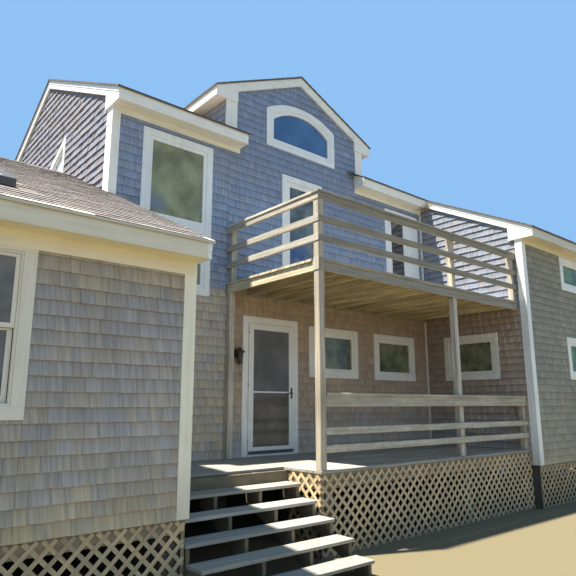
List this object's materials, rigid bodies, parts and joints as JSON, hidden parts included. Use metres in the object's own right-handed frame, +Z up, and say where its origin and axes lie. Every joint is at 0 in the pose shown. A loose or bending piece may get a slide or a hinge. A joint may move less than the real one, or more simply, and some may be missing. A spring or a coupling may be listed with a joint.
{
  "type": "beach house",
  "caption": "Two-storey shingled beach house with a low wing, cross gable, two railed decks, an open stair, a lattice skirt and a storm door that swings open.",
  "frame": {"origin": "bottom centre of the bounding box, on the ground", "axes": "+X runs to the right along the front, +Y runs from the front to the back, +Z up"},
  "size_m": [16.1, 9.75, 8.115],
  "materials": {
    "wall_shingles": "weathered grey cedar shingles",
    "roof_shingles": "grey-brown mineral roof shingles",
    "white_trim": "satin white paint",
    "window_glass": "clear window glass",
    "deck_wood": "weathered bare planks",
    "lattice_wood": "weathered lattice strips",
    "structural_wood": "rough framing timber",
    "dark_metal": "dark paint",
    "skylight_metal": "brown enamel"
  },
  "bodies": {
    "house": {"piers": "structural_wood", "ground_floor": "structural_wood", "upper_floor": "structural_wood", "front_wall_left": "wall_shingles", "front_wall_over_door": "wall_shingles", "front_wall_right": "wall_shingles", "front_wall_upper": "wall_shingles", "gable_front_wall": "wall_shingles", "gable_side_walls": "wall_shingles", "left_wall": "wall_shingles", "back_wall": "wall_shingles", "end_wall": "wall_shingles", "block_side_wall": "wall_shingles", "block_front_wall": "wall_shingles", "wing_front_wall": "wall_shingles", "wing_side_walls": "wall_shingles", "wing_back_wall": "wall_shingles", "roof_front": "structural_wood", "roof_back": "structural_wood", "roof_block": "structural_wood", "gable_roof": "structural_wood", "wing_roof_front": "structural_wood", "wing_roof_back": "structural_wood", "roof_shingles": "roof_shingles", "skylight": "skylight_metal", "eave_soffits": "white_trim", "fascia_boards": "white_trim", "rake_boards": "white_trim", "corner_boards": "white_trim", "ground_window_frames": "white_trim", "upper_window_frames": "white_trim", "gable_window_frames": "white_trim", "deck_door_frames": "white_trim", "ground_window_glass": "window_glass", "upper_window_glass": "window_glass", "gable_and_skylight_glass": "window_glass", "deck_door_glass": "window_glass", "door_casing": "white_trim", "hinge_pins": "dark_metal", "wall_lantern": "dark_metal", "lower_deck_boards": "deck_wood", "lower_deck_frame": "deck_wood", "upper_deck_boards": "deck_wood", "upper_deck_frame": "deck_wood", "posts": "deck_wood", "lower_front_rail": "deck_wood", "upper_front_rail": "deck_wood", "upper_side_rail": "deck_wood", "stringers": "deck_wood", "treads": "deck_wood", "lattice_wing": "lattice_wood", "lattice_deck_front": "lattice_wood", "lattice_deck_side": "lattice_wood", "lattice_block": "lattice_wood", "lattice_back": "lattice_wood"},
    "door": {"storm_door": "white_trim", "storm_door_glass": "window_glass", "door_handle": "dark_metal", "hinge_sleeves": "dark_metal"}
  },
  "joints": [
    {"name": "storm_door_hinge", "type": "hinge", "parent": "house", "child": "door", "pos_m": [-1.2675, -1.864, 2.1], "axis": [0, 0, -1], "range_deg": [0, 100]}
  ]
}
